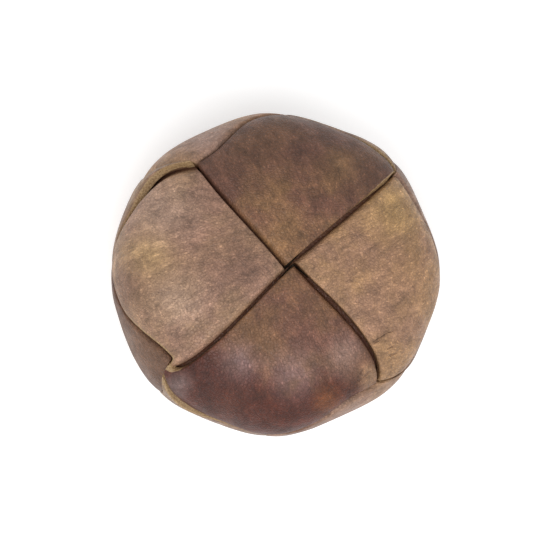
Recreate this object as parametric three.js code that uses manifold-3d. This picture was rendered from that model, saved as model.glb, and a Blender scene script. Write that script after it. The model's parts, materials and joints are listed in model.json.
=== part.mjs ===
// A woven leather shank button, of the kind called a football button.
//
// Five leather strips are woven over a domed former: four run up, over the crown and round the back, two each way,
// and the fifth runs round the rim. Every strip passes over one neighbour and under the next, so the front shows four
// panels that meet in a pinwheel. A leather strap, sewn through to fix the button to a garment, loops out of the back.
//
// The frame has +Z up through the crown, and the origin in the middle of the strap's flat outer face.

import * as THREE from "three";
import { mergeVertices } from "three/addons/utils/BufferGeometryUtils.js";
import Module from "manifold-3d";

// Driving dimensions, in millimetres
const BUTTON_DIAMETER = 25;
const DOME_HEIGHT = 6.3; // from the widest ring up to the crown
const BACK_DEPTH = 4.0; // from the widest ring down to the back
const SHANK_HEIGHT = 2.6; // the strap's flat face below the back
const LEATHER = 0.55; // thickness of the cover leather
const LAYER_GAP = 0.12; // between crossing strips
const CORE_GAP = 0.2; // between the strips and what they are woven over
const PANEL_CROWN = 0.1; // how far a panel's middle swells out
const END_GAP = 0.3; // between the two ends of each strip, hidden under a crossing
const STRAP_WIDTH = 5;
const STRAP_THICKNESS = 0.9;
const STRAP_SPAN = 8.6; // outside of one leg to outside of the other
const STRAP_BEND = 1.5; // outer radius where the strap turns up into a leg
const SLIT_GAP = 0.12; // between a leg and the slit it passes through
const LEG_DEPTH = 3.6; // how far the legs reach into the button, past the back
const PIECE_GAP = 0.12; // between the former and the pad and disc glued to it
const PAD_BASE = 2.5; // height above the widest ring where the pad meets the former
const DISC_TOP = -1.3; // height of the joint between the former and the back disc

// The bun: its section is a superellipse of this power, rounder than an ellipse at the shoulder
const BUN_POWER = 2.8;
const COVER = 2 * LEATHER + LAYER_GAP + PANEL_CROWN;
const BUN = {
  radius: BUTTON_DIAMETER / 2 - COVER,
  top: DOME_HEIGHT - COVER,
  back: BACK_DEPTH - COVER,
};

// The weave lies on the bun as on a box, with two squares by two on its front and back and two squares on each of its
// four sides. u and v run from -1 to 1 across the box, and w from 1 at the front to -1 at the back.
const FACE_SLOPE = 0.7; // sets how far out the front squares reach in the middle of a side
const CORNER_DROP = 0.28; // how much lower than that their corners are
const SLOW_DROP = { reach: 0.45, power: 2.4 }; // along the free side edge of a front panel
const FAST_DROP = { reach: 0.16, power: 1.5 }; // along the rim band's edge
const SEAM_TWIST = 0.035; // radians: the seams between the front panels bow this far to one side
const EVENING = 0.38; // how much closer together the box's lines are at the centre than at the shoulder

const EDGE = 0.02; // a panel's edge stops this fraction of a square short of the crossing line
const TUCK = 0.15; // a strip is narrower by this fraction each side where it runs under another
const RISE = 0.12; // fraction of a square over which a strip climbs from under to over

// Where the rings of each strip lie along a square, and its columns across one
const OVER_RINGS = [0, 0.04, 0.08, 0.12, 0.3, 0.5, 0.7, 0.88, 0.92, 0.96];
const UNDER_RINGS = [0, 0.02, 0.12, 0.3, 0.5, 0.7, 0.88, 0.98];
const OVER_COLUMNS = [EDGE, 0.12, 0.3, 0.5, 0.7, 0.88, 1 - EDGE];
const UNDER_COLUMNS = [TUCK, 0.2, 0.3, 0.5, 0.7, 0.8, 1 - TUCK];
const ROUND_SEGMENTS = 48;
const ARC_POINTS = 8;

const TAN = 0x9f8067;
const BROWN = 0x735545;

const wasm = await Module();
wasm.setup();

// Surfaces

function drop({ reach, power }, x) {
  return 1 - Math.exp(-((Math.abs(x) / reach) ** power));
}

// How high the box's front edge stands over the middle of the bun. On every side, one half of that edge is a front
// panel's free side and falls away slowly; the other half is the rim band's edge and falls away fast.
function faceSlope(u, v) {
  const slowAlongU = u * v > 0;
  const alongU = drop(slowAlongU ? SLOW_DROP : FAST_DROP, u);
  const alongV = drop(slowAlongU ? FAST_DROP : SLOW_DROP, v);
  return FACE_SLOPE - CORNER_DROP * alongU * alongV;
}

// The seams of the crown bow: the whole weave turns a little about +Z between the centre and the shoulder.
function bow(u, v) {
  const reach = Math.min(1, Math.hypot(u, v));
  return SEAM_TWIST * Math.sin(Math.PI * reach);
}

// Spaces the squares' inner lines out, so that equal steps along u or v are about equal lengths of leather.
function even(x) {
  return (x * (1 - EVENING)) / (1 - EVENING * x * x);
}

// The point at box position (u, v, w), a height h outwards from the bun along its normal
function onBun(evenU, evenV, w, h) {
  const turn = bow(evenU, evenV);
  const u = even(evenU);
  const v = even(evenV);
  const x = u * Math.cos(turn) - v * Math.sin(turn);
  const y = u * Math.sin(turn) + v * Math.cos(turn);
  const z = w * faceSlope(u, v);
  const across = Math.hypot(x, y);
  const size = (across ** BUN_POWER + Math.abs(z) ** BUN_POWER) ** (-1 / BUN_POWER);
  const height = z > 0 ? BUN.top : BUN.back;
  const point = new THREE.Vector3(x * BUN.radius, y * BUN.radius, z * height).multiplyScalar(size);
  const steepness = (across * size) ** (BUN_POWER - 1) / BUN.radius;
  const flatness = (Math.abs(z) * size) ** (BUN_POWER - 1) / height;
  const radial = across > 0 ? steepness / across : 0;
  const normal = new THREE.Vector3(x * radial, y * radial, Math.sign(z) * flatness).normalize();
  return point.addScaledVector(normal, h);
}

// Strips

// The six squares of a strip that crosses the crown along v, with u from 1 to 0 across it
const MERIDIAN_SQUARES = [
  { over: true, at: (a, s) => [1 - a, s - 1, 1] },
  { over: false, at: (a, s) => [1 - a, s, 1] },
  { over: true, at: (a, s) => [1 - a, 1, 1 - 2 * s] },
  { over: false, at: (a, s) => [1 - a, 1 - s, -1] },
  { over: true, at: (a, s) => [1 - a, -s, -1] },
  { over: false, at: (a, s) => [1 - a, -1, 2 * s - 1] },
];

// The eight squares of the rim band
const RIM_SQUARES = [
  { over: true, at: (a, s) => [1, s, 2 * a - 1] },
  { over: false, at: (a, s) => [1 - s, 1, 2 * a - 1] },
  { over: true, at: (a, s) => [-s, 1, 2 * a - 1] },
  { over: false, at: (a, s) => [-1, 1 - s, 2 * a - 1] },
  { over: true, at: (a, s) => [-1, -s, 2 * a - 1] },
  { over: false, at: (a, s) => [s - 1, -1, 2 * a - 1] },
  { over: true, at: (a, s) => [s, -1, 2 * a - 1] },
  { over: false, at: (a, s) => [1, s - 1, 2 * a - 1] },
];

function smooth(x) {
  const t = Math.min(1, Math.max(0, x));
  return t * t * (3 - 2 * t);
}

// How far a strip has climbed on to its neighbour, from 0 under it to 1 over it
function climb(square, s) {
  return square.over ? smooth(s / RISE) * smooth((1 - s) / RISE) : 0;
}

function swell(x) {
  return 1 - (2 * x - 1) ** 4;
}

// One ring of a strip's section: along its inner face, then back along its outer face
function stripRing(square, s) {
  const columns = square.over || s === 0 ? OVER_COLUMNS : UNDER_COLUMNS;
  const lift = climb(square, s) * (LEATHER + LAYER_GAP);
  const crown = climb(square, s) * swell(s) * PANEL_CROWN;
  const inner = columns.map((a) => onBun(...square.at(a, s), lift));
  const outer = columns.map((a) => onBun(...square.at(a, s), lift + LEATHER + crown * swell(a)));
  return [...inner, ...outer.reverse()];
}

// A strip starts and ends in the middle of one of its hidden squares.
function stripRings(squares, hidden, endShift) {
  const rings = [stripRing(squares[hidden], 0.5 + endShift)];
  for (let i = 0; i <= squares.length; i++) {
    const square = squares[(hidden + i) % squares.length];
    const places = (square.over ? OVER_RINGS : UNDER_RINGS).filter(
      (s) => (i > 0 || s > 0.5 + endShift) && (i < squares.length || s < 0.5 - endShift),
    );
    rings.push(...places.map((s) => stripRing(square, s)));
  }
  rings.push(stripRing(squares[hidden], 0.5 - endShift));
  return rings;
}

// A closed solid through a row of rings with a flat cap at each end
function loft(rings) {
  const around = rings[0].length;
  const half = around / 2;
  const index = [];
  for (let r = 0; r + 1 < rings.length; r++) {
    for (let c = 0; c < around; c++) {
      const a = r * around + c;
      const b = r * around + ((c + 1) % around);
      index.push(a, b, a + around, b, b + around, a + around);
    }
  }
  const last = (rings.length - 1) * around;
  for (let c = 0; c + 1 < half; c++) {
    const over = around - 1 - c;
    index.push(c, over, c + 1, over, over - 1, c + 1);
    index.push(last + c, last + c + 1, last + over, last + over, last + c + 1, last + over - 1);
  }
  const geometry = new THREE.BufferGeometry();
  geometry.setAttribute("position", new THREE.Float32BufferAttribute(rings.flat().flatMap((p) => p.toArray()), 3));
  geometry.setIndex(index);
  return geometry;
}

function stripGeometry(squares, hidden, squareLength) {
  return loft(stripRings(squares, hidden, END_GAP / 2 / squareLength));
}

// What the strips are woven over

// The bun's outline, shrunk by the gap, from height low to height high, as a solid of revolution
function bunSlice(low, high) {
  const radius = BUN.radius - CORE_GAP;
  const top = BUN.top - CORE_GAP;
  const back = BUN.back - CORE_GAP;
  const widthAt = (z) => radius * (1 - (Math.abs(z) / (z > 0 ? top : back)) ** BUN_POWER) ** (1 / BUN_POWER);
  const from = Math.max(low, -back);
  const to = Math.min(high, top);
  const outline = [new THREE.Vector2(0, from)];
  for (let i = 0; i <= ARC_POINTS; i++) {
    // even steps of angle, so that the points crowd towards the pole where the outline turns in
    const z = from + (to - from) * i / ARC_POINTS;
    const eased = poleEase(z, from, to, top, back);
    const x = widthAt(eased);
    if (x > 0) outline.push(new THREE.Vector2(x, eased));
  }
  outline.push(new THREE.Vector2(0, to));
  return new THREE.LatheGeometry(outline, ROUND_SEGMENTS).rotateX(Math.PI / 2);
}

function poleEase(z, from, to, top, back) {
  const t = (z - from) / (to - from);
  if (to === top) return from + (to - from) * Math.sin((t * Math.PI) / 2);
  if (from === -back) return to - (to - from) * Math.cos((t * Math.PI) / 2);
  return z;
}

// The shank: a strap bent into a U, with its legs along +Z
function strapGeometry() {
  const outer = STRAP_SPAN / 2;
  const inner = outer - STRAP_THICKNESS;
  const legTop = SHANK_HEIGHT + LEG_DEPTH;
  const innerBend = STRAP_BEND - STRAP_THICKNESS;
  const outline = new THREE.Shape();
  outline.moveTo(-outer, legTop);
  outline.lineTo(-outer, STRAP_BEND);
  outline.absarc(-outer + STRAP_BEND, STRAP_BEND, STRAP_BEND, Math.PI, 1.5 * Math.PI, false);
  outline.lineTo(outer - STRAP_BEND, 0);
  outline.absarc(outer - STRAP_BEND, STRAP_BEND, STRAP_BEND, 1.5 * Math.PI, 2 * Math.PI, false);
  outline.lineTo(outer, legTop);
  outline.lineTo(inner, legTop);
  outline.lineTo(inner, STRAP_BEND);
  outline.absarc(outer - STRAP_BEND, STRAP_BEND, innerBend, 0, -Math.PI / 2, true);
  outline.lineTo(-outer + STRAP_BEND, STRAP_THICKNESS);
  outline.absarc(-outer + STRAP_BEND, STRAP_BEND, innerBend, -Math.PI / 2, -Math.PI, true);
  outline.lineTo(-inner, legTop);
  outline.closePath();
  const geometry = new THREE.ExtrudeGeometry(outline, { depth: STRAP_WIDTH, bevelEnabled: false, curveSegments: 6 });
  geometry.rotateX(Math.PI / 2);
  geometry.translate(0, STRAP_WIDTH / 2, 0);
  return geometry;
}

// Slits

function solidOf(geometry) {
  const bare = geometry.index ? geometry.toNonIndexed() : geometry.clone();
  bare.deleteAttribute("normal");
  bare.deleteAttribute("uv");
  const merged = mergeVertices(bare, 1e-4);
  const vertProperties = merged.attributes.position.array;
  const triVerts = new Uint32Array(merged.index.array);
  return new wasm.Manifold(new wasm.Mesh({ numProp: 3, vertProperties, triVerts }));
}

function geometryOf(solid) {
  const { vertProperties, triVerts } = solid.getMesh();
  const geometry = new THREE.BufferGeometry();
  geometry.setAttribute("position", new THREE.Float32BufferAttribute(vertProperties, 3));
  geometry.setIndex(new THREE.Uint32BufferAttribute(triVerts, 1));
  return geometry;
}

const WIDEST = BACK_DEPTH + SHANK_HEIGHT; // height of the widest ring over the strap's flat face

// The slits that the strap's two legs pass through, in the bun's own frame
function slitSolids() {
  const width = STRAP_THICKNESS + 2 * SLIT_GAP;
  const length = STRAP_WIDTH + 2 * SLIT_GAP;
  const depth = SHANK_HEIGHT + LEG_DEPTH + SLIT_GAP;
  const centre = (STRAP_SPAN - STRAP_THICKNESS) / 2;
  return [-centre, centre].map((x) => {
    const box = new THREE.BoxGeometry(width, length, depth);
    box.translate(x, 0, depth / 2 - WIDEST);
    return solidOf(box);
  });
}

const slits = slitSolids();

// Cuts both slits out of a piece that stands turned about +Z by an angle.
function slit(geometry, turn = 0) {
  const degrees = THREE.MathUtils.radToDeg(-turn);
  const turned = slits.map((box) => box.rotate([0, 0, degrees]));
  return geometryOf(turned.reduce((solid, box) => solid.subtract(box), solidOf(geometry)));
}

// The button

const button = new THREE.Group();
const woven = new THREE.Group();
woven.position.z = WIDEST;
button.add(woven);

function addPiece(parent, name, geometry, color, roughness = 0.6) {
  const material = new THREE.MeshStandardMaterial({ color, roughness, metalness: 0 });
  const mesh = new THREE.Mesh(geometry, material);
  mesh.name = name;
  parent.add(mesh);
  return mesh;
}

const MERIDIAN_STRIPS = [
  { name: "strip_right", color: TAN },
  { name: "strip_rear", color: BROWN },
  { name: "strip_left", color: TAN },
  { name: "strip_front", color: BROWN },
];
const MERIDIAN_HIDDEN = 3;
const RIM_HIDDEN = 1;
const SQUARE_LENGTH = 10; // roughly, along a strip
const RIM_SQUARE_LENGTH = 9;

MERIDIAN_STRIPS.forEach(({ name, color }, i) => {
  const turn = (i * Math.PI) / 2;
  const plain = stripGeometry(MERIDIAN_SQUARES, MERIDIAN_HIDDEN, SQUARE_LENGTH);
  addPiece(woven, name, slit(plain, turn), color).rotation.z = turn;
});
addPiece(woven, "rim_band", stripGeometry(RIM_SQUARES, RIM_HIDDEN, RIM_SQUARE_LENGTH), TAN);

addPiece(woven, "dome_pad", bunSlice(PAD_BASE + PIECE_GAP, Infinity), 0x8c8477, 0.95);
addPiece(woven, "former", slit(bunSlice(DISC_TOP + PIECE_GAP, PAD_BASE)), 0xb08a5c, 0.8);
addPiece(woven, "back_disc", slit(bunSlice(-Infinity, DISC_TOP)), 0x6a4a34, 0.8);
addPiece(button, "shank_strap", strapGeometry(), 0x6b4a35);

export default button;
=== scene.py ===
"""The looks of a woven leather shank button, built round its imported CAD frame.

The four strips and the rim band follow the CAD's weave, out of round as the worn button is, and finely
enough to carry pressed edges, raw cut sides, folds and wrinkles. The felt pad and the strap are lofted too.
The former and the back disc keep their CAD shapes. Lengths are in metres; MM turns millimetres into them.
"""

import json
import math

import bmesh
import bpy
import numpy as np
from mathutils import Matrix, Vector

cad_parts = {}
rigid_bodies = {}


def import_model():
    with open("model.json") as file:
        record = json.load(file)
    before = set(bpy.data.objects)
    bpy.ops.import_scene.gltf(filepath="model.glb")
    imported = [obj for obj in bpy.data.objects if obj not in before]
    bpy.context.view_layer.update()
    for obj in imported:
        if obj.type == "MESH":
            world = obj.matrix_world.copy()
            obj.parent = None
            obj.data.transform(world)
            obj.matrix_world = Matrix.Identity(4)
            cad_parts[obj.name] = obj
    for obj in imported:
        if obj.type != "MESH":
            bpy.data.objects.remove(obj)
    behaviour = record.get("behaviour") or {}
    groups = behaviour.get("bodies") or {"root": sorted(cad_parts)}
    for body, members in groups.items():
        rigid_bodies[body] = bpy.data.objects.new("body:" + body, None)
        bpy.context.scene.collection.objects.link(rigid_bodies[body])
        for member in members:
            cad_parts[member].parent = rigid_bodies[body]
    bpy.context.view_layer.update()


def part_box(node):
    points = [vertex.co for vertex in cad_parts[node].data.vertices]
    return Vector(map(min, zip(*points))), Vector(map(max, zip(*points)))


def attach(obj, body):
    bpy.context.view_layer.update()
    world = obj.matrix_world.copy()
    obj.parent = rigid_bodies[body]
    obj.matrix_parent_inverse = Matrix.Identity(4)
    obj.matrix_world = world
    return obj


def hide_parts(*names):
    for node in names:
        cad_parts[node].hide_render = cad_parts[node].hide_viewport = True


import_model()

MM = 0.001

# ---------------------------------------------------------------- sizes shared with the CAD

LEATHER = 0.55 * MM
LAYER_GAP = 0.12 * MM
CORE_GAP = 0.2 * MM
PANEL_CROWN = 0.1 * MM
COVER = 2 * LEATHER + LAYER_GAP + PANEL_CROWN
BUTTON_RADIUS = 12.5 * MM
DOME_HEIGHT = 6.3 * MM
BACK_DEPTH = 4.0 * MM
BUN_POWER = 2.8
BUN_RADIUS = BUTTON_RADIUS - COVER
BUN_TOP = DOME_HEIGHT - COVER
BUN_BACK = BACK_DEPTH - COVER
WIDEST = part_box("dome_pad")[1].z - (BUN_TOP - CORE_GAP)  # height of the button's widest ring

FACE_SLOPE = 0.7
CORNER_DROP = 0.28
SLOW_REACH, SLOW_POWER = 0.45, 2.4
FAST_REACH, FAST_POWER = 0.16, 1.5
EVENING = 0.38
SQUARE = 10.3 * MM  # length of leather across one square of the weave

EDGE = 0.02  # a panel's edge stops this fraction of a square short of the crossing line
RIM_EDGE = 0.007  # the same on the button's side, where the strips stand closer
TUCK = 0.15  # a strip is narrower by this fraction each side where it runs under another
END_GAP = 0.3 * MM

# ---------------------------------------------------------------- camera, floor and light

VIEW_ELEVATION = math.radians(77)
VIEW_SIDE = math.radians(168)  # the camera leans over the button's -X side
VIEW_ROLL = math.radians(40.5)  # the picture's right is turned this far from +X
LENS = 250
FRAME_WIDTH = 42.2 * MM
TARGET = Vector((0, -0.07 * MM, WIDEST))
CLIP = (0.01, 10)

FLOOR_HALF = 0.6
FLOOR_ALBEDO = 0.85
FLOOR_ROUGHNESS = 0.9
FLOOR_GLOW = 0.42  # lifts the floor to the white of the background
WORLD_STRENGTH = 0.6
LIGHT_DISTANCE = 0.25
LIGHT_SIZE = 0.14
LIGHTS = (
    # name, direction from the button, power
    ("key", (-0.46, -0.13, 0.88), 0.27),
    ("fill", (0.05, -0.62, 0.78), 0.11),
)


def make_camera():
    data = bpy.data.cameras.new("camera")
    camera = bpy.data.objects.new("camera", data)
    bpy.context.scene.collection.objects.link(camera)
    level = math.cos(VIEW_ELEVATION)
    back = Vector(
        (level * math.cos(VIEW_SIDE), level * math.sin(VIEW_SIDE), math.sin(VIEW_ELEVATION))
    )
    along = (Vector((1, 0, 0)) - back * back.x).normalized()
    beside = back.cross(along)
    right = along * math.cos(VIEW_ROLL) - beside * math.sin(VIEW_ROLL)
    up = along * math.sin(VIEW_ROLL) + beside * math.cos(VIEW_ROLL)
    distance = FRAME_WIDTH * LENS / data.sensor_width
    place = TARGET + back * distance
    data.lens = LENS
    data.clip_start, data.clip_end = CLIP
    camera.matrix_world = Matrix(
        (
            (right.x, up.x, back.x, place.x),
            (right.y, up.y, back.y, place.y),
            (right.z, up.z, back.z, place.z),
            (0, 0, 0, 1),
        )
    )
    bpy.context.scene.camera = camera


def make_floor():
    mesh = bpy.data.meshes.new("floor")
    corners = [(x * FLOOR_HALF, y * FLOOR_HALF, 0) for x, y in ((-1, -1), (1, -1), (1, 1), (-1, 1))]
    mesh.from_pydata(corners, [], [(0, 1, 2, 3)])
    floor = bpy.data.objects.new("floor", mesh)
    bpy.context.scene.collection.objects.link(floor)
    material = bpy.data.materials.new("pale_floor")
    material.use_nodes = True
    shader = material.node_tree.nodes["Principled BSDF"]
    shader.inputs["Base Color"].default_value = (FLOOR_ALBEDO, FLOOR_ALBEDO, FLOOR_ALBEDO, 1)
    shader.inputs["Roughness"].default_value = FLOOR_ROUGHNESS
    shader.inputs["Emission Color"].default_value = (1, 1, 1, 1)
    shader.inputs["Emission Strength"].default_value = FLOOR_GLOW
    mesh.materials.append(material)


def make_light(name, direction, power):
    data = bpy.data.lights.new(name, "AREA")
    data.shape = "DISK"
    data.size = LIGHT_SIZE
    data.energy = power
    light = bpy.data.objects.new(name, data)
    bpy.context.scene.collection.objects.link(light)
    aim = Vector(direction).normalized()
    light.location = Vector((0, 0, WIDEST)) + aim * LIGHT_DISTANCE
    light.rotation_mode = "QUATERNION"
    light.rotation_quaternion = aim.to_track_quat("Z", "Y")


def make_world():
    world = bpy.data.worlds.new("studio")
    world.use_nodes = True
    background = world.node_tree.nodes["Background"]
    background.inputs["Color"].default_value = (1, 1, 1, 1)
    background.inputs["Strength"].default_value = WORLD_STRENGTH
    bpy.context.scene.world = world


bpy.context.scene.view_settings.view_transform = "Standard"
make_camera()
make_floor()
make_world()
for light in LIGHTS:
    make_light(*light)

# ---------------------------------------------------------------- the weave


def smooth(x):
    t = np.clip(x, 0, 1)
    return t * t * (3 - 2 * t)


def pillow(x):
    """Rises steeply from 0 and levels off at 1, as leather folded over an edge does."""
    t = np.clip(x, 0, 1)
    return np.sqrt(1 - (1 - t) ** 2)


def bell(x, centre, reach):
    return np.exp(-(((x - centre) / reach) ** 2))


def turn_between(heading, azimuth):
    """The angle from an azimuth to a heading, from -pi to pi."""
    return (heading - azimuth + math.pi) % (2 * math.pi) - math.pi


def drop(reach, power, x):
    return 1 - np.exp(-((np.abs(x) / reach) ** power))


# Where the top rim of the weave is pulled down or up: azimuth and reach in radians, change of slope
SLOPE_PULLS = (
    (0.0, 0.3, -0.12),
    (-0.25, 0.2, -0.06),
    (-0.45, 0.2, -0.07),
    (-1.6, 0.3, -0.14),
    (3.65, 0.28, -0.13),
    (0.2, 0.12, 0.09),
    (1.42, 0.25, 0.04),
    (2.5, 0.4, -0.32),
    (-2.05, 0.2, -0.1),
    (-1.1, 0.3, -0.12),
    (-2.36, 0.2, -0.14),
    (2.36, 0.16, -0.12),
)

# The same for the two panels that reach further over the rim than their neighbour across the seam: the seam's
# azimuth, how far the pull reaches beyond it, change of slope
SLOPE_STEPS = ((math.pi - 0.03, 0.5, -0.21), (0.0, 0.4, -0.06))
STEP_WIDTH = 0.015


def slope_pull(u, v):
    heading = np.arctan2(v, u)
    total = 0
    for azimuth, reach, change in SLOPE_STEPS:
        away = turn_between(heading, azimuth)
        past = 0.5 + 0.5 * np.tanh((away - STEP_WIDTH) / STEP_WIDTH)
        total = total + change * past * bell(away, 0, reach)
    for azimuth, reach, change in SLOPE_PULLS:
        total = total + change * bell(turn_between(heading, azimuth), 0, reach)
    return total


def face_slope(u, v):
    slow_u = u * v > 0
    along_u = np.where(slow_u, drop(SLOW_REACH, SLOW_POWER, u), drop(FAST_REACH, FAST_POWER, u))
    along_v = np.where(slow_u, drop(FAST_REACH, FAST_POWER, v), drop(SLOW_REACH, SLOW_POWER, v))
    return FACE_SLOPE - CORNER_DROP * along_u * along_v


CENTRE_SHEAR = 0.03  # the panels shift this far at the crossing, leaving a small hole
SHEAR_REACH = 0.45
CENTRE_FLAT, CENTRE_FADE = 0.06, 0.6  # slope pulls start this far from the crossing, and fade in over this

# How far each seam of the crown bows to its left, seen from the centre: the seams along +X, +Y, -X and -Y
BACK_BOW = 0.035
SEAM_BOWS = ((0, -0.01), (0.5 * math.pi, 0.062), (math.pi, 0.08), (1.5 * math.pi, 0.105))


def bow(u, v):
    reach = np.minimum(1, np.hypot(u, v))
    heading = np.arctan2(v, u)
    turn = sum(size * np.maximum(0, np.cos(heading - seam)) ** 2 for seam, size in SEAM_BOWS)
    return turn * np.sin(math.pi * reach)


# How the worn button is out of round: for 2, 3, 4 ... lobes, the cosine and sine shares of its radius
LOBES = (
    (0.0109, -0.0139),
    (-0.0017, -0.0046),
    (-0.0003, 0.0031),
    (-0.0001, 0.0016),
    (0.0034, -0.0011),
    (-0.0008, 0.0028),
    (0.0083, 0.0079),
)


def out_of_round(heading):
    total = 0
    for lobes, (cosine, sine) in enumerate(LOBES, 2):
        total = total + cosine * np.cos(lobes * heading) + sine * np.sin(lobes * heading)
    return total


def even(x):
    return x * (1 - EVENING) / (1 - EVENING * x * x)


# How far each upright seam of the side leans round the button at mid height: azimuth, reach, angle
LEANS = ((0.5 * math.pi, 0.5, 0.26), (math.pi, 0.5, 0.1), (0, 0.5, 0.08), (1.5 * math.pi, 0.5, 0.3))


def lean(u, v, w):
    heading = np.arctan2(v, u)
    total = 0
    for azimuth, reach, angle in LEANS:
        total = total + angle * bell(turn_between(heading, azimuth), 0, reach)
    return total * np.sin(0.5 * math.pi * (1 - w))


def on_bun(u, v, w, height, half):
    """The points at box positions (u, v, w), each a height outwards from the bun along its normal.

    half is 1 for squares on the crown's +Y half and -1 for those on its -Y half, which shear apart.
    """
    back_bow = BACK_BOW * np.sin(math.pi * np.minimum(1, np.hypot(u, v)))
    turn = np.where(w > 0, bow(u, v), back_bow) + lean(u, v, w)
    u = u - CENTRE_SHEAR * half * bell(np.hypot(u, v), 0, SHEAR_REACH) * (w > 0)
    u, v = even(u), even(v)
    x = u * np.cos(turn) - v * np.sin(turn)
    y = u * np.sin(turn) + v * np.cos(turn)
    from_centre = smooth((np.hypot(u, v) - CENTRE_FLAT) / CENTRE_FADE)
    z = w * (face_slope(u, v) + slope_pull(u, v) * from_centre * (w > 0))
    across = np.hypot(x, y)
    size = (across**BUN_POWER + np.abs(z) ** BUN_POWER) ** (-1 / BUN_POWER)
    depth = np.where(z > 0, BUN_TOP, BUN_BACK)
    steep = (across * size) ** (BUN_POWER - 1) / BUN_RADIUS
    flat = (np.abs(z) * size) ** (BUN_POWER - 1) / depth
    radial = steep / np.maximum(across, 1e-9)
    normal = np.stack([x * radial, y * radial, np.sign(z) * flat], -1)
    normal /= np.linalg.norm(normal, axis=-1, keepdims=True)
    point = np.stack([x * BUN_RADIUS, y * BUN_RADIUS, z * depth], -1) * size[..., None]
    point += normal * height[..., None]
    point[..., :2] *= (1 + out_of_round(np.arctan2(y, x)))[..., None]
    point[..., 2] += WIDEST
    return point


def turned(at, quarter):
    """The same square, turned by a number of quarter turns about +Z."""

    def place(a, s):
        u, v, w = at(a, s)
        for _ in range(quarter):
            u, v = -v, u
        return u, v, w

    return place


ONE = np.ones_like
MERIDIAN_SQUARES = (
    (True, lambda a, s: (1 - a, s - 1, ONE(a))),
    (False, lambda a, s: (1 - a, s, ONE(a))),
    (True, lambda a, s: (1 - a, ONE(a), 1 - 2 * s)),
    (False, lambda a, s: (1 - a, 1 - s, -ONE(a))),
    (True, lambda a, s: (1 - a, -s, -ONE(a))),
    (False, lambda a, s: (1 - a, -ONE(a), 2 * s - 1)),
)
RIM_PAIR = (
    (True, lambda a, s: (ONE(a), s, 2 * a - 1)),
    (False, lambda a, s: (1 - s, ONE(a), 2 * a - 1)),
)
RIM_SQUARES = tuple((over, turned(at, q)) for q in range(4) for over, at in RIM_PAIR)


# ---------------------------------------------------------------- noise


class Lattice:
    """Smooth random values in space, from a seeded table."""

    SIZE = 4096

    def __init__(self, seed):
        rng = np.random.default_rng(seed)
        self.values = rng.uniform(-1, 1, self.SIZE)
        self.order = rng.permutation(self.SIZE)

    def corner(self, i):
        key = 0
        for k in range(3):
            key = self.order[(key + i[..., k]) % self.SIZE]
        return self.values[key]

    def __call__(self, points, size):
        p = points / size
        i = np.floor(p).astype(int)
        f = p - i
        f = f**3 * (f * (6 * f - 15) + 10)
        total = 0
        for dx in (0, 1):
            for dy in (0, 1):
                for dz in (0, 1):
                    weight = 1
                    for k, d in enumerate((dx, dy, dz)):
                        weight = weight * (f[..., k] if d else 1 - f[..., k])
                    total = total + weight * self.corner(i + np.array((dx, dy, dz)))
        return total


# ---------------------------------------------------------------- strips

RISE = 0.045  # fraction of a square in which a strip's outer face climbs out of a seam
RIM_RISE = 0.011
INNER_RISE = 0.12
EDGE_SLUMP = 0.1 * MM  # how far a panel's side edges are pressed down
SLUMP_REACH = 0.13
FILLET = 0.1 * MM  # roundness of a cut edge's outer corner
JOG = 0.02  # fraction of a square in which a strip narrows as it goes under
SIDE_SLUMP, SIDE_FILLET = 0.2, 0.6  # how much of the slump and roundness is left on the button's side
SWELLS = ((0.05 * MM, 4 * MM), (0.018 * MM, 1.3 * MM))  # unevenness of a panel: height, size
RAGGED, RAGGED_SIZE = 0.03, 0.9 * MM  # unevenness of a cut side, in mm, and its size
FINE_RAGGED, FINE_RAGGED_SIZE = 0.015 * MM, 0.3 * MM
WOBBLE_SHARE = 0.6  # how much of that unevenness moves the side
LIFT_FROM = 0.6  # fraction of the width from which a lifted edge rises
TOP_STEP = 0.14 * MM  # length of the faces on top of a panel

CUT_REACH = 0.07 * MM  # how far the raw colour of a cut side runs on to the top
FRINGE_WAVER, FRINGE_WAVER_SIZE = 0.05 * MM, 0.4 * MM
LEAST_FRINGE = 0.02 * MM
FRINGE_FADE = 1.5  # the raw colour is full to half the fringe's width and gone at one and a half
SEAM_LEVEL = 0.9  # fraction of the leather's thickness and of the lift over which the painted shade in a seam deepens
SIDE_SHADE = 0.8  # how much painted shade the cut sides take, unless a bevel bares them
BARE_BEVEL = 0.15 * MM


def spaced(edges, step, length):
    """Positions from 0 to 1 along a length: close to both ends as edges says, then even steps."""
    start = np.array(edges) / length
    count = max(2, round((1 - 2 * start[-1]) * length / step))
    middle = np.linspace(start[-1], 1 - start[-1], count + 1)[1:-1]
    return np.concatenate([start, middle, 1 - start[::-1]])


NEAR_EDGE = np.array((0, 0.02, 0.05, 0.09, 0.14, 0.21, 0.3, 0.42)) * MM
NEAR_SEAM = np.array((0, 0.04, 0.09, 0.15, 0.22, 0.3, 0.4, 0.52, 0.66, 0.82)) * MM
TOP_COLUMNS = spaced(NEAR_EDGE, TOP_STEP, SQUARE)
OVER_RINGS = spaced(NEAR_SEAM, TOP_STEP, SQUARE)[:-1]
UNDER_RINGS = np.array((0, JOG, 0.06, 0.1, 0.15, 0.3, 0.45, 0.55, 0.7, 0.85, 0.9, 0.94, 1 - JOG))
SIDE_ROWS = np.array((0.85, 0.65, 0.45, 0.25, 0.08))
INNER_COLUMNS = np.linspace(0, 1, 13)


def section():
    """One ring of a strip as (position across, share of the thickness, side) columns."""
    top = [(q, 1, 0) for q in TOP_COLUMNS]
    right = [(1, f, 1) for f in SIDE_ROWS]
    inner = [(q, 0, 0) for q in INNER_COLUMNS[::-1]]
    left = [(0, f, 1) for f in SIDE_ROWS[::-1]]
    return np.array(top + right + inner + left, float)


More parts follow.
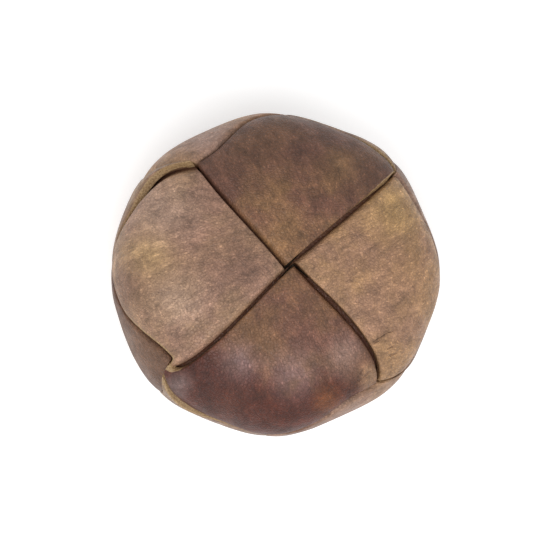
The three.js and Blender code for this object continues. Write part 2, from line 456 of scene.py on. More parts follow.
# How single squares of the weave differ: each entry is (strip, square) and then
#   trim: (place along the square, reach, mm) by which the edge at a = 1 is cut back
#   bevel: the same, for how far that edge's lower side juts out from under its upper side
#   lift: the same, for how far the leather along that edge stands off
#   fringe: the same, for how far in from that edge the raw leather shows on top
#   near: the same as fringe, along the edge at a = 0
#   rise or ease: fraction of the square over which it climbs out of its first seam, steeply or gently
#   rough: how uneven its cut sides are, in mm
SHAPES = {
    ("strip_right", 0): {"trim": (0.6, 0.25, 0.14)},
    ("strip_rear", 0): {
        "trim": (0.6, 0.5, 0.1),
        "bevel": (0.05, 0.3, 0.24),
        "fringe": (0.05, 0.26, 0.13),
    },
    ("strip_left", 0): {"ease": 0.14, "near": (0.4, 0.8, 0.3)},
    ("strip_front", 0): {
        "rise": 0.018,
        "trim": (0.0, 0.09, -0.5),
        "bevel": (0.0, 0.13, 0.15),
        "lift": (0.0, 0.12, 0.2),
        "fringe": (0.02, 0.12, 0.13),
    },
    ("rim_band", 0): {"lift": (0.2, 0.2, 0.1), "fringe": (0.2, 0.3, 0.26)},
    ("rim_band", 2): {
        "bevel": (0.3, 0.4, 0.16),
        "lift": (0.3, 0.4, 0.14),
        "fringe": (0.2, 0.6, 0.26),
    },
    ("rim_band", 4): {
        "bevel": (0.28, 0.3, 0.34),
        "lift": (0.28, 0.3, 0.32),
        "fringe": (0.2, 0.6, 0.9),
        "rough": 0.2,
    },
}


def strip_surface(name, squares, hidden, rise, noise):
    """Rings of points along a strip from one cut end to the other, and what the material reads at each.

    The material reads four marks: how raw the leather is, how deep in a seam it lies, which it paints as
    shade, and the places along and across the strip.
    """
    shape = section()
    q, share, side = (shape[:, k][None, :] for k in range(3))
    end_shift = END_GAP / 2 / SQUARE
    points, marks = [], []
    for i in range(len(squares) + 1):
        index = (hidden + i) % len(squares)
        over, at = squares[index]
        own = SHAPES.get((name, index), {})
        s = OVER_RINGS if over else UNDER_RINGS
        if i == 0:
            s = np.append(0.5 + end_shift, s[s > 0.5 + end_shift])
        if i == len(squares):
            s = np.append(s[s < 0.5 - end_shift], 0.5 - end_shift)
        s = s[:, None]
        trim, bevel, stand, fringe, near = (
            own_bell(own, key, s) for key in ("trim", "bevel", "lift", "fringe", "near")
        )
        if over:
            on_side = np.ptp(at(np.array(0.5), s)[2]) > 0.5
            tuck = (RIM_EDGE if on_side and name != "rim_band" else EDGE) + 0 * s
            start = smooth(s / own["ease"]) if "ease" in own else pillow(s / own.get("rise", rise))
            climb = start * pillow((1 - s) / rise)
            inner = smooth(s / INNER_RISE) * smooth((1 - s) / INNER_RISE)
        else:
            beyond = smooth(np.minimum(s, 1 - s) / JOG)
            tuck = EDGE + (TUCK - EDGE) * beyond
            climb = inner = 0 * s
        wide = 1 - 2 * tuck - trim
        a = tuck + wide * q + bevel * (1 - share) * q**8
        from_edge = np.minimum(a, 1 - a)
        from_cut = np.minimum(q, 1 - q) * wide * SQUARE
        swell = (1 - (2 * s - 1) ** 4) * (1 - (2 * a - 1) ** 4)
        slump = (1 - pillow((from_edge - EDGE) / SLUMP_REACH)) * EDGE_SLUMP
        slump = slump * (SIDE_SLUMP if over and on_side else 1)
        fillet = FILLET * (SIDE_FILLET if over and on_side else 1)
        rounding = fillet - np.sqrt(fillet**2 - np.clip(fillet - from_cut, 0, fillet) ** 2)
        lift = LEATHER + LAYER_GAP
        standing = climb * stand * SQUARE * smooth((q - LIFT_FROM) / (1 - LIFT_FROM))
        inner_height = lift * inner + standing
        outer_height = LEATHER + climb * (lift + PANEL_CROWN * swell - slump) - rounding + standing
        u, v, w = at(a, s + 0 * a)
        half = np.sign(at(0.5 * ONE(s), 0.5 * ONE(s))[1])[:1]
        rough = on_bun(u, v, w, outer_height, half)
        outer_height += climb * sum(height * noise(rough, size) for height, size in SWELLS)
        ragged = own.get("rough", RAGGED) * MM
        wobble = ragged * noise(rough, RAGGED_SIZE) + FINE_RAGGED * noise(rough, FINE_RAGGED_SIZE)
        height = inner_height + (outer_height - inner_height) * share
        spot = on_bun(u, v, w, height, half)
        points.append(spot + (side * np.ones_like(a))[..., None] * wobble[..., None] * WOBBLE_SHARE)
        cut = np.clip(1 - from_cut / CUT_REACH, 0, 1)
        cut = np.where(share == 1, cut * 0.5, 1) * np.where((side == 0) & (share == 0), 0, 1)
        for inset, band in (((1 - q) * wide, fringe), (q * wide, near)):
            inset = inset * SQUARE + FRINGE_WAVER * noise(rough, FRINGE_WAVER_SIZE)
            shown = (share == 1) * (band * SQUARE > LEAST_FRINGE) * climb
            fade = np.clip(FRINGE_FADE - inset / np.maximum(band * SQUARE, 1e-9), 0, 1)
            cut = np.maximum(cut, shown * fade)
        # depth is painted shade: darkest low in a seam and on the cut sides, unless a bevel bares them
        depth = np.clip(1 - (height - LEATHER * SEAM_LEVEL) / (lift * SEAM_LEVEL), 0, 1)
        bare = np.clip(bevel * SQUARE / BARE_BEVEL, 0, 1) * (q > 0.5)
        depth = np.where(side == 1, np.maximum(depth, SIDE_SHADE) * (1 - bare), depth)
        along = (i + s) * SQUARE + 0 * a
        marks.append(np.stack([cut, depth, along, a * SQUARE], -1))
    return np.concatenate(points), np.concatenate(marks)


def own_bell(own, key, s):
    """A square's own trim, bevel, lift, fringe or near at places along it, as a fraction of a square."""
    if key not in own:
        return 0 * s
    centre, reach, most = own[key]
    return bell(s, centre, reach) * most * MM / SQUARE


def loft(name, points, marks):
    """A closed mesh through rows of rings, with flat ends."""
    rings, around = points.shape[:2]
    grid = np.arange(rings * around).reshape(rings, around)
    here, there = grid[:-1], grid[1:]
    beside_here, beside_there = np.roll(here, -1, 1), np.roll(there, -1, 1)
    quads = np.stack([here, there, beside_there, beside_here], -1).reshape(-1, 4)
    faces = quads.tolist() + [grid[0].tolist(), grid[-1][::-1].tolist()]
    mesh = bpy.data.meshes.new(name)
    mesh.from_pydata(points.reshape(-1, 3).tolist(), [], faces)
    # depth carries the painted shade of seams, cut sides and slits
    for k, label in enumerate(("cut", "depth")):
        values = mesh.attributes.new(label, "FLOAT", "POINT")
        values.data.foreach_set("value", marks[..., k].astype(np.float32).ravel())
    lay = mesh.attributes.new("lay", "FLOAT_VECTOR", "POINT")
    flat = np.concatenate([marks[..., 2:], np.zeros_like(marks[..., :1])], -1)
    lay.data.foreach_set("vector", flat.astype(np.float32).ravel())
    mesh.polygons.foreach_set("use_smooth", [True] * len(mesh.polygons))
    work = bmesh.new()
    work.from_mesh(mesh)
    if work.calc_volume(signed=True) < 0:
        bmesh.ops.reverse_faces(work, faces=work.faces)
        work.to_mesh(mesh)
    work.free()
    mesh.update()
    piece = bpy.data.objects.new(name, mesh)
    bpy.context.scene.collection.objects.link(piece)
    return piece


# ---------------------------------------------------------------- materials


class Nodes:
    """Short ways to build one material's node tree."""

    WAVER, WAVER_SIZE = 0.5 * MM, 1.1 * MM  # how far a crease wavers, and over what length

    def __init__(self, name):
        self.material = bpy.data.materials.new(name)
        self.material.use_nodes = True
        self.tree = self.material.node_tree
        self.shader = self.tree.nodes["Principled BSDF"]

    def add(self, kind, **settings):
        node = self.tree.nodes.new("ShaderNode" + kind)
        for key, value in settings.items():
            setattr(node, key, value)
        return node

    def link(self, source, target):
        if isinstance(source, bpy.types.NodeSocket):
            self.tree.links.new(source, target)
        else:
            target.default_value = source

    def attribute(self, name, output="Fac"):
        return self.add("Attribute", attribute_name=name).outputs[output]

    def place(self):
        return self.add("TexCoord").outputs["Object"]

    def scaled(self, vector, scale):
        node = self.add("Mapping")
        self.link(vector, node.inputs["Vector"])
        node.inputs["Scale"].default_value = scale
        return node.outputs["Vector"]

    def turned(self, vector, angle):
        node = self.add("Mapping")
        self.link(vector, node.inputs["Vector"])
        node.inputs["Rotation"].default_value = (0, 0, angle)
        return node.outputs["Vector"]

    def noise(self, vector, size, detail=4, roughness=0.6, distortion=0):
        node = self.add("TexNoise")
        self.link(vector, node.inputs["Vector"])
        node.inputs["Scale"].default_value = 1 / size
        node.inputs["Detail"].default_value = detail
        node.inputs["Roughness"].default_value = roughness
        node.inputs["Distortion"].default_value = distortion
        return node.outputs["Fac"]

    def cells(self, vector, size):
        """The distance to the edge of the nearest cell."""
        node = self.add("TexVoronoi", feature="DISTANCE_TO_EDGE")
        self.link(vector, node.inputs["Vector"])
        node.inputs["Scale"].default_value = 1 / size
        return node.outputs["Distance"]

    def math(self, operation, a, b=0.0):
        node = self.add("Math", operation=operation)
        self.link(a, node.inputs[0])
        self.link(b, node.inputs[1])
        return node.outputs[0]

    def span(self, value, low, high, to_low=0.0, to_high=1.0, kind="SMOOTHSTEP"):
        node = self.add("MapRange", interpolation_type=kind)
        self.link(value, node.inputs["Value"])
        limits = {"From Min": low, "From Max": high, "To Min": to_low, "To Max": to_high}
        for key, number in limits.items():
            node.inputs[key].default_value = number
        return node.outputs["Result"]

    def mix(self, factor, a, b, blend="MIX"):
        node = self.add("Mix", data_type="RGBA", blend_type=blend)
        self.link(factor, node.inputs["Factor"])
        for source, key in ((a, "A"), (b, "B")):
            target = [s for s in node.inputs if s.name == key and s.type == "RGBA"][0]
            self.link(source if isinstance(source, bpy.types.NodeSocket) else (*source, 1), target)
        return [s for s in node.outputs if s.type == "RGBA"][0]

    def near(self, centre, reach):
        """1 on an upright line of the row frame, falling to 0 at its reach."""
        away = self.add("VectorMath", operation="DISTANCE")
        self.link(self.scaled(self.place(), (1, 1, 0)), away.inputs[0])
        away.inputs[1].default_value = centre
        return self.span(away.outputs["Value"], reach, 0.0)

    def along(self, place, centre, heading, half_length, width):
        """0 on a short wavering line seen from above, 1 at its width and ends."""
        wavering = self.add("VectorMath", operation="MULTIPLY_ADD")
        self.link(self.noise(place, self.WAVER_SIZE, 2), wavering.inputs[0])
        wavering.inputs[1].default_value = (self.WAVER, self.WAVER, 0)
        self.link(place, wavering.inputs[2])
        line = self.add("Mapping", vector_type="TEXTURE")
        self.link(wavering.outputs["Vector"], line.inputs["Vector"])
        shift = self.WAVER / 2
        line.inputs["Location"].default_value = (centre[0] + shift, centre[1] + shift, 0)
        line.inputs["Rotation"].default_value = (0, 0, heading)
        line.inputs["Scale"].default_value = (half_length, width, 1)
        away = self.add("VectorMath", operation="LENGTH")
        self.link(line.outputs["Vector"], away.inputs[0])
        return away.outputs["Value"]

    def from_axis(self):
        away = self.add("VectorMath", operation="LENGTH")
        self.link(self.scaled(self.place(), (1, 1, 0)), away.inputs[0])
        return away.outputs["Value"]

    def bump(self, height, distance, strength=1.0, below=None):
        node = self.add("Bump")
        self.link(height, node.inputs["Height"])
        node.inputs["Distance"].default_value = distance
        node.inputs["Strength"].default_value = strength
        if below is not None:
            self.link(below, node.inputs["Normal"])
        return node.outputs["Normal"]


def srgb(*levels):
    """A colour of 0 to 255 levels as linear light."""
    parts = [x / 255 for x in levels]
    return tuple(x / 12.92 if x <= 0.04045 else ((x + 0.055) / 1.055) ** 2.4 for x in parts)


RAW_LIGHT = srgb(178, 149, 110)
RAW_DARK = srgb(134, 104, 72)
# painted shade: the colour that seams, cut sides, slit walls, the strap's top and creases darken towards
PAINTED_SHADE_COLOUR = srgb(76, 41, 25)


# Sizes of the leather's markings
HUE_SIZE = 3.4 * MM
MOTTLE_SIZE = 1.3 * MM
WORN_SIZE = 1.4 * MM
RUBBED_SIZE = 0.8 * MM
VEIN_SIZE = 0.6 * MM
FLECK_SIZE = 0.12 * MM
SCRATCH_SIZE = 0.11 * MM
GRAIN_SIZE = 0.26 * MM
FIBRE_SIZE = 0.12 * MM

ROUGHNESS, ROUGHNESS_SWING = 0.5, 0.07
SPECULAR = 0.4
PORE_DEPTH, WRINKLE_DEPTH, CREASE_DEPTH = 0.03 * MM, 0.05 * MM, 0.08 * MM
CREASE_SHADE = 0.45
SCRATCH_HEADINGS = (0.3, 1.25)
SEAM_SHADE_SHARE = 0.93  # how fully the deepest seams take the painted shade


def leather(name, rosy, golden, patches=(), rims=(), creases=()):
    """Rubbed, mottled leather with raw cut sides and painted shade in its seams and creases.

    patches are (x, y, reach, colour, strength), rims (from radius, to radius, colour, strength) and creases
    (x, y, heading in degrees, length, width), in mm.
    """
    n = Nodes(name)
    place = n.place()
    lay = n.attribute("lay", "Vector")
    hue = n.noise(place, HUE_SIZE, 4, 0.55)
    mottle = n.noise(place, MOTTLE_SIZE, 3, 0.55, 0.3)
    worn = n.noise(place, WORN_SIZE, 5, 0.92, 0.6)
    rubbed = n.noise(n.scaled(n.turned(lay, 0.2), (1, 0.3, 1)), RUBBED_SIZE, 4, 0.95, 0.3)
    folds = n.noise(place, VEIN_SIZE, 3, 0.65, 1.0)
    veins = n.math("ABSOLUTE", n.math("SUBTRACT", folds, 0.5))
    flecks = n.noise(n.scaled(n.turned(lay, 0.5), (1, 0.4, 1)), FLECK_SIZE, 1, 0.5)
    grain = n.cells(place, GRAIN_SIZE)
    scratches = 0.0
    for angle in SCRATCH_HEADINGS:
        lines = n.noise(n.scaled(n.turned(place, angle), (1, 0.07, 1)), SCRATCH_SIZE, 1, 0.5)
        scratches = n.math("MAXIMUM", scratches, lines)

    # The dyes, where they are worn, darker or rubbed, and the painted sheen, highlight and shade that some
    # patches and rims carry
    colour = n.mix(n.span(hue, 0.36, 0.64), rosy, golden)
    for inner, outer, tint, strength in rims:
        away = n.math("ADD", n.from_axis(), n.span(mottle, 0.3, 0.7, -1.0 * MM, 1.0 * MM, "LINEAR"))
        mask = n.span(away, inner * MM, outer * MM, 0.0, strength)
        colour = n.mix(mask, colour, tint)
    for x, y, reach, tint, strength in patches:
        near = n.near((x * MM, y * MM, 0), reach * MM)
        mask = n.math("MULTIPLY", near, n.span(mottle, 0.2, 0.55, 0.55, 1.0))
        colour = n.mix(n.math("MULTIPLY", mask, strength), colour, tint)

    # Mottling, wear, veins, flecks, scratches and the gaps between grains
    shade = 1.0
    for layer, swing in ((mottle, 0.12), (worn, 0.42), (rubbed, 0.34)):
        part = n.span(layer, 0.3, 0.7, 1 - swing, 1 + swing, "LINEAR")
        shade = n.math("MULTIPLY", shade, part)
    for layer, low, high, least, most in (
        (veins, 0.022, 0.0, 0.985, 1.24),
        (flecks, 0.6, 0.76, 0.98, 1.6),
        (scratches, 0.68, 0.8, 1.0, 1.35),
    ):
        shade = n.math("MULTIPLY", shade, n.span(layer, low, high, least, most))
    shade = n.math("MULTIPLY", shade, n.span(grain, 0.0, 0.1, 0.86, 1.03, "LINEAR"))
    grey = n.add("CombineColor")
    for key in ("Red", "Green", "Blue"):
        n.link(shade, grey.inputs[key])
    colour = n.mix(1.0, colour, grey.outputs["Color"], "MULTIPLY")

    # Raw sides, and painted shade in the seams and creases
    fibre = n.noise(place, FIBRE_SIZE, 4, 0.7)
    raw = n.mix(n.span(fibre, 0.35, 0.65), RAW_DARK, RAW_LIGHT)
    colour = n.mix(n.span(n.attribute("cut"), 0.3, 0.8), colour, raw)
    colour = n.mix(n.span(n.attribute("depth"), 0.3, 1.0, 0.0, SEAM_SHADE_SHARE), colour, PAINTED_SHADE_COLOUR)
    fold = 0.0
    for x, y, heading, length, width in creases:
        middle, half = (x * MM, y * MM, 0), length * MM / 2
        across = n.along(place, middle, math.radians(heading), half, width * MM)
        fold = n.math("MAXIMUM", fold, n.span(across, 1.0, 0.1))
    if creases:
        # painted shade darkens the creases
        colour = n.mix(n.math("MULTIPLY", fold, CREASE_SHADE), colour, PAINTED_SHADE_COLOUR)
    n.link(colour, n.shader.inputs["Base Color"])

    dull, shiny = ROUGHNESS + ROUGHNESS_SWING, ROUGHNESS - ROUGHNESS_SWING
    n.link(n.span(mottle, 0.3, 0.7, dull, shiny), n.shader.inputs["Roughness"])
    n.shader.inputs["Specular IOR Level"].default_value = SPECULAR
    pores = n.bump(n.span(grain, 0.0, 0.2), PORE_DEPTH, 0.9)
    wrinkles = n.bump(n.noise(place, VEIN_SIZE, 6, 0.7), WRINKLE_DEPTH, 0.5, pores)
    if creases:
        wrinkles = n.bump(n.math("SUBTRACT", 1.0, fold), CREASE_DEPTH, 1.0, wrinkles)
    n.link(wrinkles, n.shader.inputs["Normal"])
    return n.material


# Dyed, worn and rubbed places, some of them painted sheen, highlight and shade, as x, y, reach, colour and
# strength, rims as from radius, to radius, colour and strength, and creases as x, y, heading in degrees,
# length and width: lengths in mm
RIGHT_PATCHES = (
    (9.4, -1.6, 4.2, srgb(172, 138, 88), 0.65),
    (6.5, -6.5, 3.6, srgb(150, 114, 84), 0.5),
    (2.0, 11.2, 4.2, srgb(150, 120, 106), 0.95),
)
REAR_PATCHES = (
    (1.1, 1.8, 3.6, srgb(138, 102, 68), 0.7),
    (8.4, 3.2, 2.2, srgb(132, 100, 66), 0.5),
    (-11.9, 2.9, 5.4, srgb(112, 82, 62), 0.95),
)
REAR_RIMS = ((4.6, 8.8, srgb(92, 62, 50), 0.7),)
LEFT_DYE_AND_HIGHLIGHT_PATCHES = (
    (-7.4, 7.4, 3.0, srgb(182, 148, 104), 0.8),
    # painted highlight: a pale band where the panel catches the light
    (-8.1, 3.6, 3.2, srgb(182, 152, 128), 0.65),
    (-4.4, 9.4, 4.0, srgb(172, 142, 122), 0.7),
    (-10.2, 6.6, 2.8, srgb(124, 94, 74), 0.85),
    (-6.6, 4.8, 3.0, srgb(140, 108, 86), 0.5),
    (-2.9, 3.0, 4.6, srgb(122, 90, 74), 0.8),
    (-6.3, -10.3, 2.8, srgb(96, 60, 44), 0.85),
    (-4.0, -11.5, 4.4, srgb(140, 110, 93), 0.9),
)
FRONT_DYE_SHEEN_AND_SHADE_PATCHES = (
    # painted sheen: pale lilac where the panel catches the light
    (-7.6, -3.2, 2.4, srgb(144, 118, 118), 0.45),
    # painted sheen as well
    (-5.0, -6.3, 3.0, srgb(138, 108, 104), 0.6),
    (-1.0, -8.0, 2.4, srgb(144, 114, 102), 0.8),
    (-2.6, -3.6, 3.0, srgb(104, 68, 54), 0.7),
    # the red-brown dye, deepened with painted shade low on the panel
    (-8.4, -5.6, 2.8, srgb(84, 44, 32), 0.7),
    (-4.0, -9.6, 1.8, srgb(124, 72, 36), 0.7),
    (-0.5, -9.8, 2.6, srgb(118, 84, 62), 0.8),
    (-0.3, -10.4, 1.5, srgb(156, 122, 92), 0.8),
    # the same dye and painted shade, here and in the next entry
    (-10.0, -4.6, 2.6, srgb(82, 46, 33), 0.6),
    (-10.1, -2.8, 2.4, srgb(74, 37, 27), 0.85),
    # painted reflection: a pale grey rim along the panel's edge
    (-11.9, -1.5, 1.5, srgb(124, 102, 98), 0.75),
    (12.2, -3.4, 9.0, srgb(150, 122, 104), 0.95),
)
# the dark red dye, deepened with painted shade towards the panel's outer rim
FRONT_DYE_AND_SHADE_RIMS = ((7.0, 9.8, srgb(74, 28, 14), 0.94),)
CREASES = {
    "strip_right": (
        (2.3, -8.6, -12, 3.2, 0.08),
        (1.6, -8.6, -6, 1.4, 0.12),
        (2.2, -9.7, -25, 1.1, 0.1),
        (2.1, -10.2, -18, 1.3, 0.1),
    ),
    "strip_front": (
        (-0.5, -10.1, 2, 1.2, 0.12),
        (-0.8, -9.7, 22, 1.0, 0.1),
        (-1.3, -10.1, -8, 0.9, 0.1),
    ),
}
STRIP_END, RIM_END = 3, 1  # the square in which the two ends of a strip meet
STRIP_SEED, RIM_SEED, PAD_SEED, STRAP_SEED = 10, 20, 30, 31
STRIPS = (
    # name, quarter turns, slot, rosy and golden tone, patches, rims
    ("strip_right", 0, "tan_leather", srgb(150, 114, 90), srgb(160, 123, 88), RIGHT_PATCHES, ()),
    ("strip_rear", 1, "brown_leather", srgb(112, 76, 60), srgb(126, 92, 62), REAR_PATCHES, REAR_RIMS),
    ("strip_left", 2, "tan_leather", srgb(144, 110, 92), srgb(154, 121, 94), LEFT_DYE_AND_HIGHLIGHT_PATCHES, ()),
    ("strip_front", 3, "brown_leather", srgb(110, 74, 60), srgb(122, 87, 60), FRONT_DYE_SHEEN_AND_SHADE_PATCHES, FRONT_DYE_AND_SHADE_RIMS),
)


def make_strips():
    for name, turns, slot, rosy, golden, patches, rims in STRIPS:
        squares = tuple((over, turned(at, turns)) for over, at in MERIDIAN_SQUARES)
        points, marks = strip_surface(name, squares, STRIP_END, RISE, Lattice(STRIP_SEED + turns))
        piece = loft("woven_" + name, points, marks)
        creases = CREASES.get(name, ())
        material = leather(name + "_leather", rosy, golden, patches, rims, creases)
        finish_piece(piece, name, material)
        cut_slits(piece)
    points, marks = strip_surface("rim_band", RIM_SQUARES, RIM_END, RIM_RISE, Lattice(RIM_SEED))
    material = leather("rim_leather", srgb(126, 96, 80), srgb(142, 112, 84))
    finish_piece(loft("woven_rim_band", points, marks), "rim_band", material)


def finish_piece(piece, node, material):
    piece.data.materials.append(material)
    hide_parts(node)
    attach(piece, "root")


# ---------------------------------------------------------------- the felt pad

PAD_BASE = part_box("dome_pad")[0].z
PAD_RADIUS = BUN_RADIUS - CORE_GAP
PAD_TOP = BUN_TOP - CORE_GAP
PAD_POLE = 0.02  # the pad's skin ends this far short of its middle, in radians of its profile
PAD_LUMPS = ((0.03 * MM, 1.5 * MM), (0.01 * MM, 0.4 * MM))  # depth, size
PAD_RINGS, PAD_UNDER_RINGS, PAD_AROUND = 40, 12, 120


def make_pad():
    """The felt that fills the crown: a bun's top with a pressed, slightly lumpy skin."""
    base = (PAD_BASE - WIDEST) / PAD_TOP
    lowest = math.asin(base ** (BUN_POWER / 2))
    climb = np.linspace(lowest, 0.5 * math.pi - PAD_POLE, PAD_RINGS)
    wide = np.cos(climb) ** (2 / BUN_POWER) * PAD_RADIUS
    high = np.sin(climb) ** (2 / BUN_POWER) * PAD_TOP
    under = np.linspace(0.1, 0.98, PAD_UNDER_RINGS)
    wide = np.concatenate([under * wide[0], wide])
    high = np.concatenate([high[0] + 0 * under, high])
    around = np.linspace(0, 2 * math.pi, PAD_AROUND + 1)[:-1][None, :]
    points = np.stack(
        [
            wide[:, None] * np.cos(around),
            wide[:, None] * np.sin(around),
            WIDEST + high[:, None] + 0 * around,
        ],
        -1,
    )
    lumps = Lattice(PAD_SEED)
    press = sum(depth * (1 + lumps(points, size)) for depth, size in PAD_LUMPS)
    inwards = np.array((0, 0, WIDEST)) - points
    inwards /= np.linalg.norm(inwards, axis=-1, keepdims=True)
    upper = (np.arange(len(wide)) >= len(under))[:, None, None]
    points += inwards * press[..., None] * upper
    piece = loft("felt_pad", points, np.zeros(points.shape[:2] + (4,)))
    finish_piece(piece, "dome_pad", felt())


# ---------------------------------------------------------------- the strap

STRAP_WIDTH = 5 * MM
STRAP_THICKNESS = 0.9 * MM
STRAP_SPAN = 8.6 * MM  # outside of one leg to outside of the other
STRAP_BEND = 1.5 * MM
STRAP_CORNER = 0.16 * MM
STRAP_STEP = 0.09 * MM
STRAP_CREASE, CREASE_INSET, CREASE_REACH = 0.05 * MM, 0.5 * MM, 0.07 * MM  # the line pressed along each edge
STRAP_WEAR = ((0.012 * MM, 0.8 * MM), (0.006 * MM, 0.25 * MM))  # depth, size
SLIT_GAP = 0.12 * MM
SLIT_LOW = 0.5 * MM
ON_WALL = 0.001 * MM
SHARP = 0.7  # radians at which a slit's edge shows
LEG_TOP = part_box("shank_strap")[1].z


def strap_line():
    """(x, z, out x, out z) along the strap's middle, down one leg and up the other.

    Out is the way out of the loop there.
    """
    arm = STRAP_SPAN / 2 - STRAP_THICKNESS / 2
    centre = STRAP_SPAN / 2 - STRAP_BEND
    bend = STRAP_BEND - STRAP_THICKNESS / 2
    leg = [(-arm, z, -1, 0) for z in np.linspace(LEG_TOP, STRAP_BEND, 40)[:-1]]
    turn = [
        (-centre - bend * math.cos(t), STRAP_BEND - bend * math.sin(t), -math.cos(t), -math.sin(t))
        for t in np.linspace(0, 0.5 * math.pi, 15)
    ]
    flat = [(x, STRAP_BEND - bend, 0, -1) for x in np.linspace(-centre, 0, 22)[1:]]
    half = np.array(leg + turn + flat)
    return np.concatenate([half, half[-2::-1] * (-1, 1, -1, 1)])


def strap_section():
    """(across, outwards) round the strap's section, a flat bar with rounded corners."""
    y, n = STRAP_WIDTH / 2 - STRAP_CORNER, STRAP_THICKNESS / 2 - STRAP_CORNER
    bends = []
    for quarter, (at_y, at_n) in enumerate(((y, n), (y, -n), (-y, -n), (-y, n))):
        for t in np.linspace(0, 0.5 * math.pi, 6):
            angle = 0.5 * math.pi * (1 - quarter) - t
            across, out = STRAP_CORNER * math.cos(angle), STRAP_CORNER * math.sin(angle)
            bends.append((at_y + across, at_n + out))
    bends = np.array(bends)
    section = []
    for here, there in zip(bends, np.roll(bends, -1, 0)):
        count = max(1, round(np.hypot(*(there - here)) / STRAP_STEP))
        section += [here + (there - here) * k / count for k in range(count)]
    return np.array(section)


def make_strap():
    """The shank: a strap with softened corners, a line pressed along each edge, raw cut sides and painted
    shade where it meets the button.
    """
    x, z, out_x, out_z = (column[:, None] for column in strap_line().T)
    across, out = (column[None, :] for column in strap_section().T)
    edge = STRAP_WIDTH / 2 - np.abs(across)
    pressed = STRAP_CREASE * bell(edge, CREASE_INSET, CREASE_REACH)
    skin = Lattice(STRAP_SEED)
    flat = np.stack([x + out * out_x, across + 0 * x, z + out * out_z], -1)
    worn = sum(depth * (1 + skin(flat, size)) for depth, size in STRAP_WEAR)
    sunk = np.sign(out) * np.minimum(pressed + worn, np.abs(out))
    points = flat - np.stack([sunk * out_x, 0 * sunk, sunk * out_z], -1)
    cut = np.clip(1 - edge / (0.12 * MM), 0, 1) + 0 * x
    # depth: painted shade on the strap where it meets the button's back
    depth = np.clip((z - WIDEST + BACK_DEPTH + 0.2 * MM) / (0.5 * MM), 0, 0.8) + 0 * across
    along = np.arange(len(x))[:, None] * 0.15 * MM + 0 * across
    marks = np.stack([cut, depth, along, across + 0 * x], -1)
    material = leather("strap_leather", srgb(106, 76, 58), srgb(122, 92, 66))
    finish_piece(loft("sewn_strap", points, marks), "shank_strap", material)


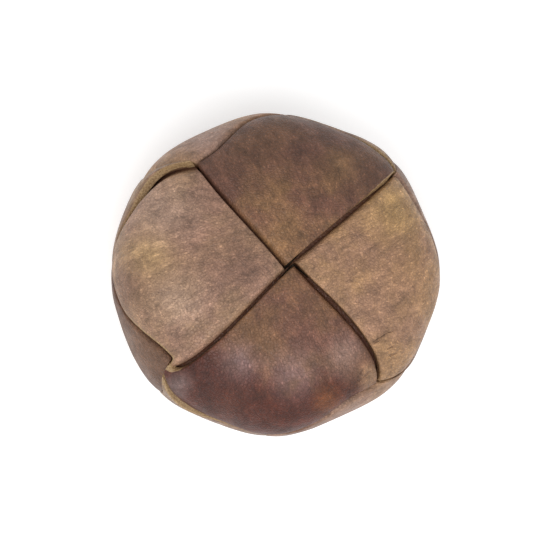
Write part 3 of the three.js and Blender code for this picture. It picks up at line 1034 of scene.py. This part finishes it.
def cut_slits(piece):
    """Opens the slits that the strap's legs pass through, with raw walls in painted shade."""
    wide, long = STRAP_THICKNESS / 2 + SLIT_GAP, STRAP_WIDTH / 2 + SLIT_GAP
    middle = (STRAP_SPAN - STRAP_THICKNESS) / 2
    low, high = SLIT_LOW, LEG_TOP + SLIT_GAP
    outline = ((-wide, -long), (wide, -long), (wide, long), (-wide, long))
    corners = [(x, y, z) for z in (low, high) for x, y in outline]
    sides = [(3, 2, 1, 0), (4, 5, 6, 7), (0, 1, 5, 4), (1, 2, 6, 5), (2, 3, 7, 6), (3, 0, 4, 7)]
    mesh = bpy.data.meshes.new("slits")
    mesh.from_pydata(
        [(side * middle + x, y, z) for side in (-1, 1) for x, y, z in corners],
        [],
        sides + [tuple(i + 8 for i in face) for face in sides],
    )
    slits = bpy.data.objects.new("slits", mesh)
    bpy.context.scene.collection.objects.link(slits)
    cutting = piece.modifiers.new("slits", "BOOLEAN")
    cutting.operation = "DIFFERENCE"
    cutting.solver = "EXACT"
    cutting.object = slits
    depsgraph = bpy.context.evaluated_depsgraph_get()
    whole, name = piece.data, piece.data.name
    made = bpy.data.meshes.new_from_object(
        piece.evaluated_get(depsgraph), preserve_all_data_layers=True, depsgraph=depsgraph
    )
    piece.modifiers.clear()
    piece.data = made
    bpy.data.objects.remove(slits)
    bpy.data.meshes.remove(whole)
    made.name = name
    place = np.empty(len(made.vertices) * 3, np.float32)
    made.vertices.foreach_get("co", place)
    x, y, z = place.reshape(-1, 3).T
    from_leg = np.abs(np.abs(x) - middle)
    on_wall = (from_leg < wide + ON_WALL) & (np.abs(y) < long + ON_WALL) & (z < high)
    # the slit walls take the raw colour and painted shade
    for label, level in (("cut", 1), ("depth", 0.6)):
        values = np.empty(len(made.vertices), np.float32)
        made.attributes[label].data.foreach_get("value", values)
        values[on_wall] = level
        made.attributes[label].data.foreach_set("value", values)
    work = bmesh.new()
    work.from_mesh(made)
    for edge in work.edges:
        if all(on_wall[v.index] for v in edge.verts):
            edge.smooth = len(edge.link_faces) == 2 and edge.calc_face_angle() < SHARP
    work.to_mesh(made)
    work.free()


# ---------------------------------------------------------------- felt, wood and board


def felt():
    n = Nodes("wool_felt")
    fibres = n.noise(n.place(), 0.35 * MM, 6, 0.75, 1.5)
    clumps = n.noise(n.place(), 1.6 * MM, 3)
    colour = n.mix(n.span(clumps, 0.35, 0.65), srgb(86, 70, 56), srgb(108, 90, 72))
    colour = n.mix(n.span(fibres, 0.4, 0.7, 0.0, 0.6), colour, srgb(60, 46, 36))
    n.link(colour, n.shader.inputs["Base Color"])
    n.shader.inputs["Roughness"].default_value = 0.95
    n.link(n.bump(fibres, 0.12 * MM), n.shader.inputs["Normal"])
    return n.material


def wood():
    n = Nodes("turned_wood")
    rings = n.noise(n.scaled(n.place(), (1, 0.12, 1)), 0.7 * MM, 4, 0.6, 0.5)
    colour = n.mix(n.span(rings, 0.35, 0.65), srgb(150, 112, 70), srgb(196, 160, 112))
    n.link(colour, n.shader.inputs["Base Color"])
    n.link(n.span(rings, 0.3, 0.7, 0.55, 0.7), n.shader.inputs["Roughness"])
    n.link(n.bump(rings, 0.04 * MM), n.shader.inputs["Normal"])
    return n.material


def board():
    n = Nodes("leather_board")
    chips = n.noise(n.place(), 0.4 * MM, 5, 0.7)
    colour = n.mix(n.span(chips, 0.35, 0.65), srgb(92, 66, 48), srgb(140, 106, 78))
    n.link(colour, n.shader.inputs["Base Color"])
    n.shader.inputs["Roughness"].default_value = 0.85
    n.link(n.bump(chips, 0.06 * MM), n.shader.inputs["Normal"])
    return n.material


def dress(node, material):
    """A CAD piece keeps its shape and gets a finer material."""
    for piece in bpy.data.objects:
        if piece.type == "MESH" and (piece.name == node or piece.name.startswith(node + ".")):
            piece.data.materials.clear()
            piece.data.materials.append(material)


make_strips()
make_pad()
make_strap()
dress("former", wood())
dress("back_disc", board())
